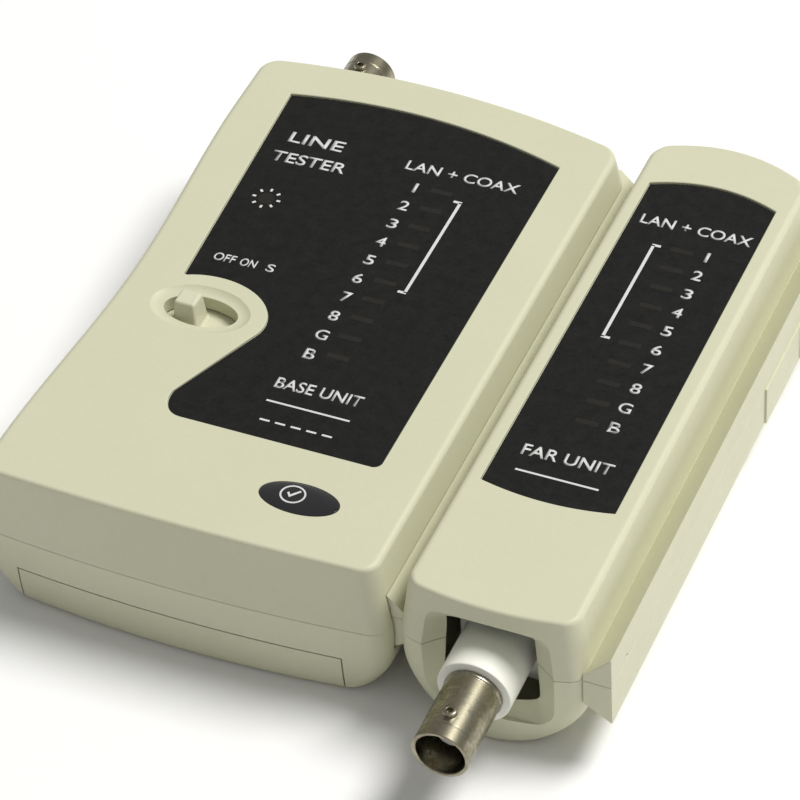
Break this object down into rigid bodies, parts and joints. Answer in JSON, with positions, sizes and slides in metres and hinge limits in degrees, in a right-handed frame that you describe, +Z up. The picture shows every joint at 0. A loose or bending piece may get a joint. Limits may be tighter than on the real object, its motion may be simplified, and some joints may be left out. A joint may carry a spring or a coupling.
{
  "type": "network cable tester",
  "caption": "Handheld network and coaxial cable tester: a battery-powered master with a slide switch and a lamp row, and a remote that docks on its side by a dovetail.",
  "frame": {"origin": "on the resting face under the middle of the master unit", "axes": "+X from the master towards the docked remote, +Y from the near end (remote's coaxial connector) to the far end, +Z up out of the label faces"},
  "size_m": [0.1128, 0.1517, 0.031],
  "materials": {
    "ivory_case": "fine-grained ivory ABS",
    "ivory_knob": "smooth ivory ABS",
    "black_overlay": "printed film, satin with a fine mottle",
    "gloss_badge": "clear domed resin over black print",
    "black_moulding": "satin",
    "steel": "zinc plated",
    "board_green": "solder mask",
    "lamp_tint": "diffused, unlit",
    "component_tan": "lacquered",
    "diode_glass": "glass over a red die",
    "capacitor_sleeve": "shrink sleeve",
    "jack_grey": "satin",
    "gold_contact": "gold flash",
    "white_plastic": "satin off-white",
    "nickel": "nickel plated",
    "battery_jacket": "lithographed jacket, plain",
    "red_lead": "PVC"
  },
  "bodies": {
    "master": {"master_top_shell": "ivory_case", "master_bottom_shell": "ivory_case", "master_overlay": "black_overlay", "oval_badge": "gloss_badge", "slide_switch_body": "steel", "master_circuit_board": "board_green", "master_lamps": "lamp_tint", "power_lamp": "lamp_tint", "counter_chip": "black_moulding", "timer_chip": "black_moulding", "master_resistors": "component_tan", "timing_capacitor": "capacitor_sleeve", "master_jack_housing": "jack_grey", "master_jack_contacts": "gold_contact", "master_coax_body": "white_plastic", "master_coax_barrel": "nickel", "master_coax_insulator": "white_plastic", "master_coax_contact": "gold_contact", "nine_volt_battery": "battery_jacket", "battery_terminals": "nickel", "battery_snap": "black_moulding", "positive_lead": "red_lead", "negative_lead": "black_moulding", "master_case_screws": "steel"},
    "battery_door": {"battery_door": "ivory_case"},
    "switch_knob": {"switch_knob": "ivory_knob", "switch_contact_slider": "black_moulding"},
    "remote": {"remote_top_shell": "ivory_case", "remote_bottom_shell": "ivory_case", "remote_overlay": "black_overlay", "remote_circuit_board": "board_green", "remote_lamps": "lamp_tint", "remote_diodes": "diode_glass", "remote_jack_housing": "jack_grey", "remote_jack_contacts": "gold_contact", "remote_coax_body": "white_plastic", "remote_coax_barrel": "nickel", "remote_coax_insulator": "white_plastic", "remote_coax_contact": "gold_contact", "remote_case_screws": "steel"}
  },
  "joints": [
    {"name": "switch_slide", "type": "slide", "parent": "master", "child": "switch_knob", "axis": [1, 0, 0], "range_m": [0, 0.0042]},
    {"name": "door_slide", "type": "slide", "parent": "master", "child": "battery_door", "axis": [0, -1, 0], "range_m": [0, 0.056]},
    {"name": "remote_slide", "type": "slide", "parent": "master", "child": "remote", "axis": [0, 1, 0], "range_m": [0, 0.15]}
  ]
}
